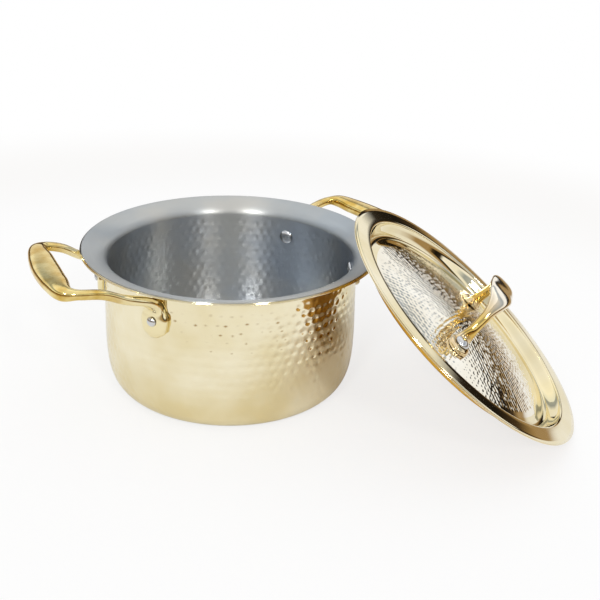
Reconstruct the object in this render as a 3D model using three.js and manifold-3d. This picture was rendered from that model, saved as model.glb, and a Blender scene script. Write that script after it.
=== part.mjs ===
// A hammered brass cooking pot with two side handles, and its lid, which is off the pot and leans on it.
// Lengths are in millimetres, angles in degrees, and +Z is up. The pot stands on z = 0 around the Z axis,
// and its side handles lie along X.

import * as THREE from "three";
import { mergeVertices } from "three/addons/utils/BufferGeometryUtils.js";
import Module from "manifold-3d";

// Pot: a brass shell with a steel-grey lining pressed into it. The wall swells a little below the neck,
// and the rim flares out from it.
const neckRadius = 101.6;
const bellySwell = 1.6;
const cornerWidth = 23.2;
const rimFlare = 18.4;
const rimHeight = 118.4;
const cornerHeight = 50;
const cornerSquareness = 3.4;
const flareHeight = 12;
const flareSlopeHeight = 3.6;
const shellSheet = 1.1;
const liningSheet = 0.7;
const liningEdgeSetback = 0.8;

// Clearance between pieces that touch
const fitGap = 0.3;

// Side handles: castings with two lugs, two legs and a flattened grip. The left one is bent a little higher
// and wider, with one end further out than the other, and the right one is riveted a little further round.
const sideRivetAngle = 27;
const sideRivetDrop = 28.4;
const sideLugWidth = 23;
const sideLugHeight = 26;
const sideLugThickness = 5.5;
const sideLegWidth = 8;
const sideLegThickness = 6.8;
const sideLegSpread = 97;
const sideGripWidth = 20;
const sideGripThickness = 11;
const leftGripStand = 48.8;
const rightGripStand = 45.4;
const leftGripSkew = 7;
const rightGripSkew = 0;
const leftGripRise = 5.1;
const rightGripRise = -3.4;
const rightHandleTurn = 2.5;

// How far the back of a lug or a foot reaches past its seat before it is cut to the seat's shape
const seatBite = 2;

// Lug of a side handle from its tip up, as shares of its height, width and thickness
const sideLugShares = [
  { rise: -0.5, width: 0.35, thickness: 0.8 },
  { rise: -0.34, width: 0.85, thickness: 1 },
  { rise: 0, width: 1, thickness: 1 },
  { rise: 0.33, width: 0.76, thickness: 1 },
];

// Bend from lug to leg: its rise as a share of the lug's height, its lift and size as shares of the leg's
const sideBendShares = { rise: 0.6, lift: 0.8, width: 1.3, thickness: 1.1 };

// Leg from the bend out, as shares of the run to the grip, of the way to the legs' spread and of the rise
const sideLegShares = [
  { run: 0.38, spread: 0.6, rise: 0.34 },
  { run: 0.62, spread: 0.96, rise: 0.76 },
  { run: 0.88, spread: 1.04, rise: 0.98 },
];

// Grip from its corner to its middle, as shares of half the spread, of the reach, and of its section
const sideGripShares = [
  { along: 0.89, reach: 1, width: 0.62, thickness: 0.9 },
  { along: 0.48, reach: 1.015, width: 0.92, thickness: 1 },
  { along: 0, reach: 1.02, width: 1, thickness: 1 },
];

// Rivets of the side handles
const sideRivetShank = 5;
const sideRivetHead = 7.6;
const sideRivetHeadHeight = 2.2;
const sideRivetInnerHead = 9.6;
const sideRivetInnerHeight = 1.8;

// Lid: one spun sheet with a flange, a recessed wall that fits into the neck, a groove, a smooth band and
// a shallow dome
const lidSheet = 1.1;
const lidEdgeInset = 1;
const lidFlangeWidth = 14;
const lidNeckGap = 0.3;
const lidBandWidth = 7.9;
const lidCrestRound = 1.8;
const lidGrooveDepth = 11.6;
const lidGrooveRound = 2.2;
const lidDomeEdgeDepth = 10.4;
const lidDomeTop = -0.6;
const lidFlangeDrop = 0.8;

// How the lid leans: the way it faces, how much further its low edge stands from the side grip than the pot
// is high, and its sideways step along the rim
const leanAzimuth = -43.7;
const leanStride = 19.6;
const leanSideStep = 13;
const leastTilt = 20;
const mostTilt = 70;

// Lid handle: a casting with two round feet, two legs that lean in and a flattened grip. It is riveted on
// a little turned, and a little off the middle of the lid.
const lidRivetReach = 49;
const lidHandleTurn = -7.5;
const lidHandleShift = 4;
const lidFootWidth = 18;
const lidFootLength = 19;
const lidFootThickness = 4;
const lidLegWidth = 7.8;
const lidLegThickness = 7;
const lidGripReach = 28;
const lidGripHeight = 39;
const lidGripWidth = 22;
const lidGripThickness = 6.5;

// Foot of the lid handle from its outer tip in, as shares of its length, width and thickness
const lidFootShares = [
  { along: 0.5, width: 0.35, thickness: 0.8 },
  { along: 0.34, width: 0.85, thickness: 1 },
  { along: 0, width: 1, thickness: 1 },
  { along: -0.32, width: 0.72, thickness: 1 },
];

// Leg of the lid handle from the foot up, as shares of the way from the rivet to the grip and of its height
const lidLegShares = [
  { inward: 0.44, rise: 0.28 },
  { inward: 0.72, rise: 0.6 },
];

// Grip of the lid handle from its end to its middle, as shares of its reach, height and section
const lidGripShares = [
  { along: 0.9, height: 0.93, width: 0.66, thickness: 0.95 },
  { along: 0.5, height: 1, width: 0.94, thickness: 1 },
  { along: 0, height: 1, width: 1, thickness: 1 },
];

// Rivets of the lid handle
const lidRivetShank = 5;
const lidRivetHead = 9.6;
const lidRivetHeadHeight = 3;
const lidRivetInnerHead = 9;
const lidRivetInnerHeight = 1.6;

// Facets of the turned and bent surfaces
const turns = 48;
const flareSteps = 6;
const domeSteps = 6;
const bendSteps = 3;
const cornerSteps = 7;
const sectionPoints = 12;
const sectionSquareness = 2.6;
const stationsPerKey = 2;
const rivetTurns = 12;
const rivetDomeSteps = 3;
const holeTurns = 16;
const leanSamples = 720;
const contactSteps = 3;
const leanHalvings = 24;

const wasm = await Module();
wasm.setup();

const radians = THREE.MathUtils.degToRad;
const upright = new THREE.Vector3(0, 0, 1);
const wallBuild = shellSheet + fitGap + liningSheet;
const flareStart = rimHeight - flareHeight;
const bellyRadius = neckRadius + bellySwell;
const baseRadius = bellyRadius - cornerWidth;
const rimRadius = neckRadius + rimFlare;
const sideRivetHeight = rimHeight - sideRivetDrop;
const lidRadius = rimRadius - lidEdgeInset;
const lidCrestRadius = lidRadius - lidFlangeWidth;
const lidWallRadius = neckRadius - wallBuild - lidNeckGap - lidSheet;
const lidGrooveRadius = lidWallRadius - lidGrooveRound;
const lidDomeRadius = lidGrooveRadius - lidBandWidth;
const leanReach = neckRadius + rightGripStand + rimHeight + leanStride;

// A geometry with its shared points merged and its empty triangles taken out
function closed(geometry) {
  const bare = geometry.clone();
  bare.deleteAttribute("normal");
  bare.deleteAttribute("uv");
  const merged = mergeVertices(bare);
  const index = merged.getIndex().array;
  const kept = [];
  for (let i = 0; i < index.length; i += 3) {
    const [a, b, c] = [index[i], index[i + 1], index[i + 2]];
    if (a !== b && b !== c && c !== a) {
      kept.push(a, b, c);
    }
  }
  merged.setIndex(kept);
  return merged;
}

function toManifold(geometry) {
  const merged = closed(geometry);
  const vertProperties = new Float32Array(merged.getAttribute("position").array);
  const triVerts = new Uint32Array(merged.getIndex().array);
  return new wasm.Manifold(new wasm.Mesh({ numProp: 3, vertProperties, triVerts }));
}

function fromManifold(manifold) {
  const cut = manifold.getMesh();
  const geometry = new THREE.BufferGeometry();
  geometry.setAttribute("position", new THREE.BufferAttribute(cut.vertProperties, 3));
  geometry.setIndex(new THREE.BufferAttribute(cut.triVerts, 1));
  return geometry;
}

// The body with each cutting geometry taken away
function cutAway(body, cutters) {
  let result = toManifold(body);
  for (const cutter of cutters) {
    result = result.subtract(toManifold(cutter));
  }
  return fromManifold(result);
}

// A profile of radius and height turned around the Z axis
function turned(profile, segments) {
  const geometry = new THREE.LatheGeometry(profile, segments);
  geometry.rotateX(Math.PI / 2);
  return geometry;
}

// The profile moved sideways by a distance, to its left as it runs
function offsetProfile(points, distance) {
  return points.map((point, i) => {
    const before = points[Math.max(i - 1, 0)];
    const after = points[Math.min(i + 1, points.length - 1)];
    const arriving = point.clone().sub(before);
    const leaving = after.clone().sub(point);
    const first = (i === 0 ? leaving : arriving).normalize();
    const second = (i === points.length - 1 ? arriving : leaving).normalize();
    const bisector = first.clone().add(second).normalize();
    const stretch = distance / Math.abs(bisector.dot(first));
    const moved = new THREE.Vector2(point.x - bisector.y * stretch, point.y + bisector.x * stretch);
    moved.x = point.x === 0 ? 0 : moved.x;
    return moved;
  });
}

// The height of a profile at a radius, between its points
function heightAt(profile, radius) {
  const last = profile.length - 1;
  const i = Math.min(Math.max(profile.findIndex((point) => point.x > radius), 1), last);
  const [inner, outer] = [profile[i - 1], profile[i]];
  return THREE.MathUtils.mapLinear(radius, inner.x, outer.x, inner.y, outer.y);
}

// Radius of the outside of the straight wall between the bottom corner and the flare
function wallRadiusAt(height) {
  return THREE.MathUtils.mapLinear(height, cornerHeight, flareStart, bellyRadius, neckRadius);
}

// Outside of the pot: a flat base, a squarish corner, a straight wall and a flared rim
function potProfile() {
  const points = [new THREE.Vector2(0, 0), new THREE.Vector2(baseRadius, 0)];
  for (let step = 1; step <= cornerSteps; step++) {
    const angle = (step / cornerSteps) * (Math.PI / 2);
    const acrossShare = Math.sin(angle) ** (2 / cornerSquareness);
    const upShare = 1 - Math.cos(angle) ** (2 / cornerSquareness);
    const across = THREE.MathUtils.lerp(baseRadius, bellyRadius, acrossShare);
    points.push(new THREE.Vector2(across, cornerHeight * upShare));
  }
  const rimUnderside = rimHeight - wallBuild;
  const flare = new THREE.QuadraticBezierCurve(
    new THREE.Vector2(neckRadius, flareStart),
    new THREE.Vector2(neckRadius, rimUnderside - flareSlopeHeight),
    new THREE.Vector2(rimRadius, rimUnderside),
  );
  return points.concat(flare.getPoints(flareSteps));
}

// An offset of a profile that ends short of the rim by a setback
function layerProfile(profile, distance, setback) {
  const layer = offsetProfile(profile, distance);
  const [before, last] = layer.slice(-2);
  last.sub(last.clone().sub(before).setLength(setback));
  return layer;
}

// A closed turned sheet between two offsets of a profile
function sheetLayer(profile, from, to, setback) {
  const far = layerProfile(profile, to, setback).reverse();
  return turned(layerProfile(profile, from, setback).concat(far), turns);
}

// The full solid inside an offset of a profile, up to its last point
function fullSolid(profile, distance) {
  const skin = offsetProfile(profile, distance);
  const top = new THREE.Vector2(0, skin[skin.length - 1].y);
  return turned(skin.concat([top]), turns);
}

// A round bar centred on a place and lying along a direction
function bar(radius, length, place, direction) {
  const geometry = new THREE.CylinderGeometry(radius, radius, length, holeTurns);
  geometry.applyQuaternion(new THREE.Quaternion().setFromUnitVectors(THREE.Object3D.DEFAULT_UP, direction));
  geometry.translate(place.x, place.y, place.z);
  return geometry;
}

// A bent bar through key places. Each key has a centre, a width, a thickness and the way its back faces.
// The section is a rounded oblong, and the two ends are closed flat.
function bentBar(keys) {
  const centre = new THREE.CatmullRomCurve3(keys.map((key) => key.at));
  const sizes = new THREE.CatmullRomCurve3(keys.map((key) => new THREE.Vector3(key.width, key.thickness, 0)));
  const backs = new THREE.CatmullRomCurve3(keys.map((key) => key.back));
  const stations = (keys.length - 1) * stationsPerKey;
  const places = [];
  for (let station = 0; station <= stations; station++) {
    const along = station / stations;
    const middle = centre.getPoint(along);
    const size = sizes.getPoint(along);
    const across = centre.getTangent(along).cross(backs.getPoint(along)).normalize();
    const through = across.clone().cross(centre.getTangent(along)).normalize();
    for (let corner = 0; corner < sectionPoints; corner++) {
      const angle = (corner / sectionPoints) * 2 * Math.PI;
      const acrossShare = Math.sign(Math.cos(angle)) * Math.abs(Math.cos(angle)) ** (2 / sectionSquareness);
      const throughShare = Math.sign(Math.sin(angle)) * Math.abs(Math.sin(angle)) ** (2 / sectionSquareness);
      const place = middle.clone();
      place.addScaledVector(across, (acrossShare * size.x) / 2);
      place.addScaledVector(through, (throughShare * size.y) / 2);
      places.push(place);
    }
  }
  const faces = [];
  for (let station = 0; station < stations; station++) {
    for (let corner = 0; corner < sectionPoints; corner++) {
      const next = (corner + 1) % sectionPoints;
      const [a, b] = [station * sectionPoints + corner, station * sectionPoints + next];
      const [c, d] = [a + sectionPoints, b + sectionPoints];
      faces.push(a, c, b, b, c, d);
    }
  }
  const start = places.length - sectionPoints;
  for (let corner = 1; corner < sectionPoints - 1; corner++) {
    faces.push(0, corner, corner + 1);
    faces.push(start, start + corner + 1, start + corner);
  }
  const geometry = new THREE.BufferGeometry().setFromPoints(places);
  geometry.setIndex(faces);
  return geometry;
}

// Keys of one half of a bar followed by those of the other, mirrored in y and without the middle one twice
function joinedKeys(half, other) {
  const mirrored = other.slice(0, -1).map((key) => ({
    ...key,
    at: new THREE.Vector3(key.at.x, -key.at.y, key.at.z),
    back: new THREE.Vector3(key.back.x, -key.back.y, key.back.z),
  }));
  return half.concat(mirrored.reverse());
}

// A rivet along Z: a domed head from its seat up, and a flat-backed inner head from its seat down
function rivet(size) {
  const points = [new THREE.Vector2(0, size.innerSeat - size.innerHeight)];
  for (let step = 1; step <= rivetDomeSteps; step++) {
    const angle = (step / rivetDomeSteps) * (Math.PI / 2);
    const across = (size.innerHead / 2) * Math.sin(angle);
    points.push(new THREE.Vector2(across, size.innerSeat - size.innerHeight * Math.cos(angle)));
  }
  points.push(new THREE.Vector2(size.shank / 2, size.innerSeat));
  points.push(new THREE.Vector2(size.shank / 2, size.seat));
  for (let step = 0; step <= rivetDomeSteps; step++) {
    const angle = (step / rivetDomeSteps) * (Math.PI / 2);
    const across = step === rivetDomeSteps ? 0 : (size.head / 2) * Math.cos(angle);
    points.push(new THREE.Vector2(across, size.seat + size.headHeight * Math.sin(angle)));
  }
  return turned(points, rivetTurns);
}

const brassShell = { color: 0xe2c98a, roughness: 0.22, metalness: 1 };
const brassCasting = { color: 0xc9a552, roughness: 0.25, metalness: 1 };
const greyLining = { color: 0x9a9c9c, roughness: 0.4, metalness: 1 };
const brightSteel = { color: 0xd5d6da, roughness: 0.25, metalness: 1 };

function piece(name, geometry, finish) {
  const mesh = new THREE.Mesh(closed(geometry), new THREE.MeshStandardMaterial(finish));
  mesh.name = name;
  return mesh;
}

const pot = potProfile();
const forbidden = fullSolid(pot, -fitGap);

// The four rivet places on the wall: two for each side handle
const sides = [
  {
    word: "left",
    facing: Math.PI,
    gripReach: neckRadius + leftGripStand,
    gripSkew: leftGripSkew,
    gripHeight: rimHeight + leftGripRise,
  },
  {
    word: "right",
    facing: radians(rightHandleTurn),
    gripReach: neckRadius + rightGripStand,
    gripSkew: rightGripSkew,
    gripHeight: rimHeight + rightGripRise,
  },
];

function sideRivetDirection(side, end) {
  const angle = side.facing + end * radians(sideRivetAngle);
  return new THREE.Vector3(Math.cos(angle), Math.sin(angle), 0);
}

const sideHoles = [];
for (const side of sides) {
  for (const end of [-1, 1]) {
    const direction = sideRivetDirection(side, end);
    const place = direction.clone().multiplyScalar(wallRadiusAt(sideRivetHeight)).setZ(sideRivetHeight);
    const length = 2 * (sideLugThickness + wallBuild + sideRivetHead);
    sideHoles.push(bar(sideRivetShank / 2 + fitGap, length, place, direction));
  }
}

// Half of a side handle along +X, with its lug bent down flat against the wall
function sideHandleHalf(side, end) {
  const cornerReach = side.gripReach + end * side.gripSkew;
  const lugAngle = radians(sideRivetAngle);
  const outward = new THREE.Vector3(Math.cos(lugAngle), Math.sin(lugAngle), 0);
  const down = new THREE.Vector3(0, 0, -1);
  const back = sideLugThickness + seatBite;
  const stand = fitGap + (sideLugThickness - seatBite) / 2;
  const lugOut = wallRadiusAt(sideRivetHeight) * outward.x;
  const lugAside = wallRadiusAt(sideRivetHeight) * outward.y;
  const bendHeight = sideRivetHeight + sideLugHeight * sideBendShares.rise;
  const onWall = (height, lift) => {
    const reach = wallRadiusAt(height) + stand + lift;
    return outward.clone().multiplyScalar(reach).setZ(height);
  };
  const half = sideLugShares.map((share) => ({
    at: onWall(sideRivetHeight + sideLugHeight * share.rise, 0),
    width: sideLugWidth * share.width,
    thickness: back * share.thickness,
    back: outward,
  }));
  half.push({
    at: onWall(bendHeight, sideLegThickness * sideBendShares.lift),
    width: sideLegWidth * sideBendShares.width,
    thickness: sideLegThickness * sideBendShares.thickness,
    back: outward.clone().add(down),
  });
  for (const share of sideLegShares) {
    const out = THREE.MathUtils.lerp(lugOut, cornerReach, share.run);
    const aside = THREE.MathUtils.lerp(lugAside, sideLegSpread / 2, share.spread);
    const height = THREE.MathUtils.lerp(bendHeight, side.gripHeight, share.rise);
    const at = new THREE.Vector3(out, aside, height);
    half.push({ at, width: sideLegWidth, thickness: sideLegThickness, back: down });
  }
  for (const share of sideGripShares) {
    const out = THREE.MathUtils.lerp(side.gripReach, cornerReach, share.along) * share.reach;
    half.push({
      at: new THREE.Vector3(out, (sideLegSpread / 2) * share.along, side.gripHeight),
      width: sideGripWidth * share.width,
      thickness: sideGripThickness * share.thickness,
      back: down,
    });
  }
  return half;
}

// Side rivet along Z with z = 0 on the outside of the wall
function sideRivet() {
  const upperEdge = sideRivetHeight + sideRivetInnerHead / 2;
  const liningRadius = (wallRadiusAt(upperEdge) - wallBuild) * Math.cos(Math.PI / turns);
  const nearest = Math.sqrt(liningRadius ** 2 - (sideRivetInnerHead / 2) ** 2);
  return rivet({
    shank: sideRivetShank,
    head: sideRivetHead,
    headHeight: sideRivetHeadHeight,
    seat: fitGap + sideLugThickness + fitGap,
    innerHead: sideRivetInnerHead,
    innerHeight: sideRivetInnerHeight,
    innerSeat: nearest - fitGap - wallRadiusAt(sideRivetHeight),
  });
}

// Upper face of the lid from its centre out, with z = 0 on the crest of the flange
function lidProfile() {
  const dome = new THREE.QuadraticBezierCurve(
    new THREE.Vector2(0, lidDomeTop),
    new THREE.Vector2(lidDomeRadius / 2, lidDomeTop),
    new THREE.Vector2(lidDomeRadius, -lidDomeEdgeDepth),
  );
  const groove = new THREE.QuadraticBezierCurve(
    new THREE.Vector2(lidGrooveRadius - lidGrooveRound, -lidGrooveDepth),
    new THREE.Vector2(lidWallRadius, -lidGrooveDepth),
    new THREE.Vector2(lidWallRadius, lidGrooveRound - lidGrooveDepth),
  );
  const crest = new THREE.QuadraticBezierCurve(
    new THREE.Vector2(lidCrestRadius - lidCrestRound, -lidCrestRound),
    new THREE.Vector2(lidCrestRadius - lidCrestRound, 0),
    new THREE.Vector2(lidCrestRadius, 0),
  );
  const edge = new THREE.Vector2(lidRadius, -lidFlangeDrop);
  const bends = [...groove.getPoints(bendSteps), ...crest.getPoints(bendSteps)];
  return [...dome.getPoints(domeSteps), ...bends, edge];
}

const lidTop = lidProfile();
const lidUnderside = offsetProfile(lidTop, -lidSheet);

// The lid's place at a tilt, with its low edge on the ground
function lidPlace(tilt) {
  const edge = lidUnderside[lidUnderside.length - 1];
  const azimuth = radians(leanAzimuth);
  const along = leanReach - edge.x * Math.cos(tilt) - edge.y * Math.sin(tilt);
  const height = edge.x * Math.sin(tilt) - edge.y * Math.cos(tilt);
  const place = new THREE.Group();
  place.rotation.order = "ZYX";
  place.rotation.set(0, tilt, azimuth);
  place.position.set(
    along * Math.cos(azimuth) + leanSideStep * Math.sin(azimuth),
    along * Math.sin(azimuth) - leanSideStep * Math.cos(azimuth),
    height,
  );
  place.updateMatrixWorld();
  return place;
}

// Points spread over the faces of a geometry
function surfacePoints(geometry) {
  const position = geometry.getAttribute("position");
  const index = geometry.getIndex().array;
  const corner = (i) => new THREE.Vector3().fromBufferAttribute(position, index[i]);
  const points = [];
  for (let face = 0; face < index.length; face += 3) {
    const triangle = new THREE.Triangle(corner(face), corner(face + 1), corner(face + 2));
    for (let i = 0; i <= contactSteps; i++) {
      for (let j = 0; j <= contactSteps - i; j++) {
        const [u, v] = [i / contactSteps, j / contactSteps];
        const point = triangle.a.clone().multiplyScalar(1 - u - v);
        points.push(point.addScaledVector(triangle.b, u).addScaledVector(triangle.c, v));
      }
    }
  }
  return points;
}

// Points around the top edges of the shell and the lining
function rimPoints() {
  const edges = [layerProfile(pot, shellSheet, 0), layerProfile(pot, wallBuild, liningEdgeSetback)];
  return edges.flatMap((edge) => {
    const { x: radius, y: height } = edge[edge.length - 1];
    return Array.from({ length: leanSamples }, (_, i) => {
      const angle = (i / leanSamples) * 2 * Math.PI;
      return new THREE.Vector3(radius * Math.cos(angle), radius * Math.sin(angle), height);
    });
  });
}

// The least distance of the points under the lid's underside, measured along the lid's axis
function leanClearance(place, points) {
  const seen = points.map((point) => place.worldToLocal(point.clone()));
  const under = seen.filter((point) => Math.hypot(point.x, point.y) < lidRadius + fitGap);
  const gaps = under.map((point) => heightAt(lidUnderside, Math.hypot(point.x, point.y)) - point.z);
  return gaps.reduce((least, gap) => Math.min(least, gap), Infinity);
}

// The lid's place where its underside comes to rest on the points of the rim and the side handles
function leaningLid(points) {
  let [low, high] = [radians(leastTilt), radians(mostTilt)];
  for (let halving = 0; halving < leanHalvings; halving++) {
    const middle = (low + high) / 2;
    if (leanClearance(lidPlace(middle), points) < fitGap) {
      low = middle;
    } else {
      high = middle;
    }
  }
  return lidPlace(high);
}

// A place on the dome at a reach along Y, and the way the dome faces there
function domePoint(reach) {
  return new THREE.Vector3(0, reach, heightAt(lidTop, reach));
}

function domeNormal(reach) {
  const [inner, outer] = [domePoint(reach - lidFootLength / 2), domePoint(reach + lidFootLength / 2)];
  const run = outer.sub(inner);
  return new THREE.Vector3(0, -run.z, run.y).normalize();
}

// The space under the dome and its clearance, which the feet of the lid handle sit on
function domeSolid() {
  const below = -lidGrooveDepth - lidSheet;
  const dome = offsetProfile(lidTop, fitGap).slice(0, domeSteps + 1);
  const floor = [new THREE.Vector2(0, below), new THREE.Vector2(lidDomeRadius, below)];
  return turned(floor.concat(dome.reverse()), turns);
}

// How far the rivet of an end of the lid handle is from the middle of the lid
function lidRivetPlace(end) {
  return lidRivetReach + end * lidHandleShift;
}

// Half of the lid handle, standing on the dome along Y, with its round foot turned outwards
function lidHandleHalf(end) {
  const outward = new THREE.Vector3(0, 1, 0);
  const back = lidFootThickness + seatBite;
  const stand = fitGap + (lidFootThickness - seatBite) / 2;
  const half = lidFootShares.map((share) => {
    const reach = lidRivetPlace(end) + lidFootLength * share.along;
    return {
      at: domePoint(reach).addScaledVector(domeNormal(reach), stand),
      width: lidFootWidth * share.width,
      thickness: back * share.thickness,
      back: domeNormal(reach),
    };
  });
  for (const share of lidLegShares) {
    const reach = THREE.MathUtils.lerp(lidRivetReach, lidGripReach, share.inward) + end * lidHandleShift;
    const at = new THREE.Vector3(0, reach, lidGripHeight * share.rise);
    half.push({ at, width: lidLegWidth, thickness: lidLegThickness, back: outward });
  }
  const gripMiddle = lidGripHeight - lidGripThickness / 2;
  for (const share of lidGripShares) {
    const reach = lidGripReach * share.along + end * lidHandleShift;
    half.push({
      at: new THREE.Vector3(0, reach, gripMiddle * share.height),
      width: lidGripWidth * share.width,
      thickness: lidGripThickness * share.thickness,
      back: upright.clone().addScaledVector(outward, share.along),
    });
  }
  return half;
}

// Lid rivet along Z with z = 0 on the upper face of the dome
function lidRivet(place) {
  const normal = domeNormal(place);
  const origin = domePoint(place);
  const depths = [-1, 1].map((side) => {
    const reach = place + (side * lidRivetInnerHead) / 2;
    return new THREE.Vector3(0, reach, heightAt(lidUnderside, reach)).sub(origin).dot(normal);
  });
  return rivet({
    shank: lidRivetShank,
    head: lidRivetHead,
    headHeight: lidRivetHeadHeight,
    seat: fitGap + lidFootThickness + fitGap,
    innerHead: lidRivetInnerHead,
    innerHeight: lidRivetInnerHeight,
    innerSeat: Math.min(...depths) - fitGap,
  });
}

const group = new THREE.Group();

const shell = sheetLayer(pot, 0, shellSheet, 0);
const lining = sheetLayer(pot, shellSheet + fitGap, wallBuild, liningEdgeSetback);
group.add(piece("pot_shell", cutAway(shell, sideHoles), brassShell));
group.add(piece("pot_lining", cutAway(lining, sideHoles), greyLining));

const restPoints = rimPoints();
for (const side of sides) {
  const halves = joinedKeys(sideHandleHalf(side, 1), sideHandleHalf(side, -1));
  const blank = bentBar(halves).rotateZ(side.facing);
  const handle = piece(`side_handle_${side.word}`, cutAway(blank, [forbidden, ...sideHoles]), brassCasting);
  restPoints.push(...surfacePoints(handle.geometry));
  group.add(handle);
  for (const [end, number] of [[-1, 1], [1, 2]]) {
    const direction = sideRivetDirection(side, end);
    const fastener = piece(`side_rivet_${side.word}_${number}`, sideRivet(), brightSteel);
    fastener.quaternion.setFromUnitVectors(upright, direction);
    fastener.position.copy(direction).multiplyScalar(wallRadiusAt(sideRivetHeight)).setZ(sideRivetHeight);
    group.add(fastener);
  }
}

const lidGroup = leaningLid(restPoints);
const handleTurn = radians(lidHandleTurn);
const loop = bentBar(joinedKeys(lidHandleHalf(-1), lidHandleHalf(1))).rotateZ(handleTurn);
const lidRivets = [-1, 1].map((end) => {
  const angle = end < 0 ? handleTurn : handleTurn + Math.PI;
  const reach = lidRivetPlace(end);
  const place = domePoint(reach).applyAxisAngle(upright, angle);
  return { reach, place, direction: domeNormal(reach).applyAxisAngle(upright, angle) };
});
const lidHoles = lidRivets.map(({ place, direction }) => {
  const length = 2 * (lidFootThickness + lidSheet + lidRivetHead);
  return bar(lidRivetShank / 2 + fitGap, length, place, direction);
});
const lidSection = lidUnderside.concat([...lidTop].reverse());
lidGroup.add(piece("lid_shell", cutAway(turned(lidSection, turns), lidHoles), brassShell));
lidGroup.add(piece("lid_handle", cutAway(loop, [domeSolid(), ...lidHoles]), brassCasting));
lidRivets.forEach(({ reach, place, direction }, i) => {
  const fastener = piece(`lid_rivet_${i + 1}`, lidRivet(reach), brightSteel);
  fastener.quaternion.setFromUnitVectors(upright, direction);
  fastener.position.copy(place);
  lidGroup.add(fastener);
});
group.add(lidGroup);

export default group;
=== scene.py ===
"""A hammered brass cooking pot with its lid leaning on it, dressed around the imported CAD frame."""

import math

import bmesh
import bpy
from mathutils import Matrix, Vector


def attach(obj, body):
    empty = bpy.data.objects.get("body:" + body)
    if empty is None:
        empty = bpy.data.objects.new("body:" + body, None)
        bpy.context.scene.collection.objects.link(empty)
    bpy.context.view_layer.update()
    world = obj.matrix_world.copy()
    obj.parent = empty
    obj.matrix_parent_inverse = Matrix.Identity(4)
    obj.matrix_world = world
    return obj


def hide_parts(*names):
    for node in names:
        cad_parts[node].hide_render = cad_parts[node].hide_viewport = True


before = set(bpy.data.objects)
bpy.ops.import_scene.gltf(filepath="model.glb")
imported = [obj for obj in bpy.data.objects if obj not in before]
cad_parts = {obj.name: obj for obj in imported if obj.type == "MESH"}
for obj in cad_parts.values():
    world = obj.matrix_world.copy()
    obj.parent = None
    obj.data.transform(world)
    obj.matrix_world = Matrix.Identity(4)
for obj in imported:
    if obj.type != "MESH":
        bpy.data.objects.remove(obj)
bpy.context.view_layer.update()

MM = 0.001

# Pot, in millimetres: the same profile as the CAD solids
RIM_RADIUS = 120.0
RIM_HEIGHT = 118.4
NECK_RADIUS = 101.6
BELLY_RADIUS = 103.2
BASE_RADIUS = 80.0
CORNER_HEIGHT = 50.0
CORNER_SQUARENESS = 3.4
FLARE_HEIGHT = 12.0
FLARE_SLOPE_HEIGHT = 3.6
SHELL_SHEET = 1.1
LINING_SHEET = 0.7
LINING_SETBACK = 0.8
FIT_GAP = 0.3
WALL_BUILD = SHELL_SHEET + FIT_GAP + LINING_SHEET

# Side handles. A lug has a width, a height and a thickness, a leg and a grip a width and a thickness.
# Angles are in degrees
SIDE_RIVET_ANGLE = 27.0
SIDE_RIVET_HEIGHT = 90.0
SIDE_LUG = (23.0, 26.0, 5.5)
SIDE_LEG = (8.0, 6.8)
SIDE_LEG_SPREAD = 97.0
SIDE_GRIP = (20.0, 11.0)
# Each handle's direction, the reach of its grip, how much further out one end is, and its height
SIDE_HANDLES = {"left": (180.0, 150.4, 7.0, 123.5), "right": (2.5, 147.0, 0.0, 115.0)}
# How much thicker a lug is lofted than it ends up, before it is pressed onto the round it sits on
SEAT_BITE = 2.0
# Reach from the pot's axis over which a side handle goes from lugs painted pale, a painted highlight, to a
# deep gold grip
SIDE_PAINTED_HIGHLIGHT_REACH = (120.0, 142.0)

# The turn between two hammer marks that follow each other around a wall: half a mark is left over in each
# row, so that the marks of two rows stand between each other
SHELL_ROW_TURN = 2 * math.pi / 86.5
LINING_ROW_TURN = 2 * math.pi / 80.5
# Distance between two rings of marks on the lid's dome
LID_RING_PITCH = 3.65
# The weakest and the strongest blow of the hammer, as shares of the full depth of a mark
BLOW_FORCE = (0.35, 1.0)
# How high above the shell's base the marks begin, and the lengths over which marks fade in and out
SHELL_MARKS_FROM = 2.0
SHELL_FADE_IN = 8.0
WALL_FADE_OUT = 6.0
DOME_FADE_OUT = 5.0

# Meshes of the turned sheets: columns around the axis
SHEET_COLUMNS = 500
LINING_COLUMNS = 460
# Longest step of a profile: on the flat bottom and on the wall of shell and lining, and on the lid's dome
# and its plain parts
SHELL_STEPS = (8.0, 1.25)
LINING_STEPS = (6.0, 1.3)
LID_STEPS = (1.2, 4.0)
# The faces between shell and lining, which nobody sees, keep every fourth point
BACK_KEEPS_EVERY = 4
# Steps around a sheet's half-round edge, and how far it bulges as a share of half the thickness
LIP_STEPS = 6
LIP_BULGE = 0.6

# Lid: profile sizes, and the place where it leans. Its radius is a hair under the solid's 119 mm, so that
# its rounder edge stays in the solid's box
LID_RADIUS = 118.95
LID_CREST_RADIUS = 105.0
LID_CREST_ROUND = 1.8
LID_GROOVE_RADIUS = 95.9
LID_GROOVE_DEPTH = 11.6
LID_GROOVE_ROUND = 2.2
LID_DOME_RADIUS = 88.0
LID_DOME_EDGE_DEPTH = 10.4
LID_DOME_TOP = -0.6
LID_DOME_STEPS = 40
LID_FLANGE_DROP = 0.8
LID_SHEET = 1.1
LID_PLACE = (131.0964, -143.2599, 76.3142)
LID_TILT = 38.99334
LID_AZIMUTH = -43.7

# Studio, in metres: the floor, how far the white paper on it reaches, and how much the camera's view of it
# is lifted towards white
FLOOR_RADIUS = 9.0
FLOOR_DROP = 0.0004
PAPER_REACH = (0.4, 0.9)
PAPER_LIFT = 0.75
WHITE = "#FFFFFF"
PAPER_COLOUR = "#F2F2F2"
FAR_FLOOR_COLOUR = "#A08458"
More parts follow.
